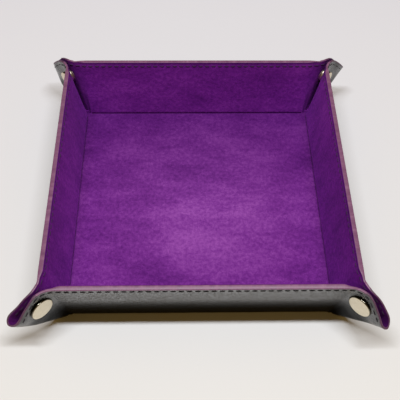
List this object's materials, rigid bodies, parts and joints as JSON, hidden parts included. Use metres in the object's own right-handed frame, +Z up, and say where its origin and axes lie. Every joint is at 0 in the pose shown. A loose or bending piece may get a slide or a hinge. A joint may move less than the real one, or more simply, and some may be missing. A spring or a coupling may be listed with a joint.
{
  "type": "folding dice tray",
  "caption": "Square leather tray with a velvet lining; its boarded walls fold up and press studs pinch the corners into ears, so that dice stay inside.",
  "frame": {"origin": "centre of the tray's underside, on the table", "axes": "+Z up out of the open tray; front wall towards -Y, right wall towards +X"},
  "size_m": [0.219, 0.219, 0.0447],
  "materials": {
    "leather": "satin black grained synthetic leather",
    "velvet": "short brushed velvet pile",
    "board": "grey bookbinder's board",
    "edge_paint": "satin mauve edge paint",
    "thread": "twisted polyester thread",
    "snap_metal": "brushed pale champagne plating"
  },
  "bodies": {
    "base": {"base_leather": "leather", "base_board": "board", "base_velvet": "velvet"},
    "wall_front": {"wall_leather_front": "leather", "wall_board_front": "board", "wall_velvet_front": "velvet", "wall_edge_front": "edge_paint", "wall_stitching_front": "thread"},
    "wall_right": {"wall_leather_right": "leather", "wall_board_right": "board", "wall_velvet_right": "velvet", "wall_edge_right": "edge_paint", "wall_stitching_right": "thread"},
    "wall_back": {"wall_leather_back": "leather", "wall_board_back": "board", "wall_velvet_back": "velvet", "wall_edge_back": "edge_paint", "wall_stitching_back": "thread"},
    "wall_left": {"wall_leather_left": "leather", "wall_board_left": "board", "wall_velvet_left": "velvet", "wall_edge_left": "edge_paint", "wall_stitching_left": "thread"},
    "flap_front_left": {"flap_leather_front_left": "leather", "flap_velvet_front_left": "velvet", "snap_cap_front_left": "snap_metal", "snap_socket_front_left": "snap_metal"},
    "flap_front_right": {"flap_leather_front_right": "leather", "flap_velvet_front_right": "velvet", "snap_cap_front_right": "snap_metal", "snap_socket_front_right": "snap_metal"},
    "flap_right_front": {"flap_leather_right_front": "leather", "flap_velvet_right_front": "velvet", "snap_stud_front_right": "snap_metal", "snap_rivet_front_right": "snap_metal"},
    "flap_right_back": {"flap_leather_right_back": "leather", "flap_velvet_right_back": "velvet", "snap_stud_back_right": "snap_metal", "snap_rivet_back_right": "snap_metal"},
    "flap_back_right": {"flap_leather_back_right": "leather", "flap_velvet_back_right": "velvet", "snap_cap_back_right": "snap_metal", "snap_socket_back_right": "snap_metal"},
    "flap_back_left": {"flap_leather_back_left": "leather", "flap_velvet_back_left": "velvet", "snap_cap_back_left": "snap_metal", "snap_socket_back_left": "snap_metal"},
    "flap_left_back": {"flap_leather_left_back": "leather", "flap_velvet_left_back": "velvet", "snap_stud_back_left": "snap_metal", "snap_rivet_back_left": "snap_metal"},
    "flap_left_front": {"flap_leather_left_front": "leather", "flap_velvet_left_front": "velvet", "snap_stud_front_left": "snap_metal", "snap_rivet_front_left": "snap_metal"}
  },
  "joints": [
    {"name": "front_wall_fold", "type": "hinge", "parent": "base", "child": "wall_front", "pos_m": [0, -0.082, 0], "axis": [1, 0, 0], "range_deg": [0, 79]},
    {"name": "right_wall_fold", "type": "hinge", "parent": "base", "child": "wall_right", "pos_m": [0.082, 0, 0], "axis": [0, 1, 0], "range_deg": [0, 79]},
    {"name": "back_wall_fold", "type": "hinge", "parent": "base", "child": "wall_back", "pos_m": [0, 0.082, 0], "axis": [-1, 0, 0], "range_deg": [0, 79]},
    {"name": "left_wall_fold", "type": "hinge", "parent": "base", "child": "wall_left", "pos_m": [-0.082, 0, 0], "axis": [0, -1, 0], "range_deg": [0, 79]},
    {"name": "front_left_ear_fold", "type": "hinge", "parent": "wall_front", "child": "flap_front_left", "pos_m": [-0.07776, -0.082, 0], "axis": [0.1874, 0.1874, -0.9642], "range_deg": [0, 46.05]},
    {"name": "front_right_ear_fold", "type": "hinge", "parent": "wall_front", "child": "flap_front_right", "pos_m": [0.07776, -0.082, 0], "axis": [0.1874, -0.1874, 0.9642], "range_deg": [0, 46.05]},
    {"name": "right_front_ear_fold", "type": "hinge", "parent": "wall_right", "child": "flap_right_front", "pos_m": [0.082, -0.07776, 0], "axis": [-0.1874, 0.1874, -0.9642], "range_deg": [0, 46.05]},
    {"name": "right_back_ear_fold", "type": "hinge", "parent": "wall_right", "child": "flap_right_back", "pos_m": [0.082, 0.07776, 0], "axis": [0.1874, 0.1874, 0.9642], "range_deg": [0, 46.05]},
    {"name": "back_right_ear_fold", "type": "hinge", "parent": "wall_back", "child": "flap_back_right", "pos_m": [0.07776, 0.082, 0], "axis": [-0.1874, -0.1874, -0.9642], "range_deg": [0, 46.05]},
    {"name": "back_left_ear_fold", "type": "hinge", "parent": "wall_back", "child": "flap_back_left", "pos_m": [-0.07776, 0.082, 0], "axis": [-0.1874, 0.1874, 0.9642], "range_deg": [0, 46.05]},
    {"name": "left_back_ear_fold", "type": "hinge", "parent": "wall_left", "child": "flap_left_back", "pos_m": [-0.082, 0.07776, 0], "axis": [0.1874, -0.1874, -0.9642], "range_deg": [0, 46.05]},
    {"name": "left_front_ear_fold", "type": "hinge", "parent": "wall_left", "child": "flap_left_front", "pos_m": [-0.082, -0.07776, 0], "axis": [-0.1874, -0.1874, 0.9642], "range_deg": [0, 46.05]}
  ],
  "couplings": [
    {"joint": "right_wall_fold", "follows": "front_wall_fold", "ratio": 1},
    {"joint": "back_wall_fold", "follows": "front_wall_fold", "ratio": 1},
    {"joint": "left_wall_fold", "follows": "front_wall_fold", "ratio": 1},
    {"joint": "front_left_ear_fold", "follows": "front_wall_fold", "ratio": 0.58283},
    {"joint": "front_right_ear_fold", "follows": "front_wall_fold", "ratio": 0.58283},
    {"joint": "right_front_ear_fold", "follows": "front_wall_fold", "ratio": 0.58283},
    {"joint": "right_back_ear_fold", "follows": "front_wall_fold", "ratio": 0.58283},
    {"joint": "back_right_ear_fold", "follows": "front_wall_fold", "ratio": 0.58283},
    {"joint": "back_left_ear_fold", "follows": "front_wall_fold", "ratio": 0.58283},
    {"joint": "left_back_ear_fold", "follows": "front_wall_fold", "ratio": 0.58283},
    {"joint": "left_front_ear_fold", "follows": "front_wall_fold", "ratio": 0.58283}
  ]
}
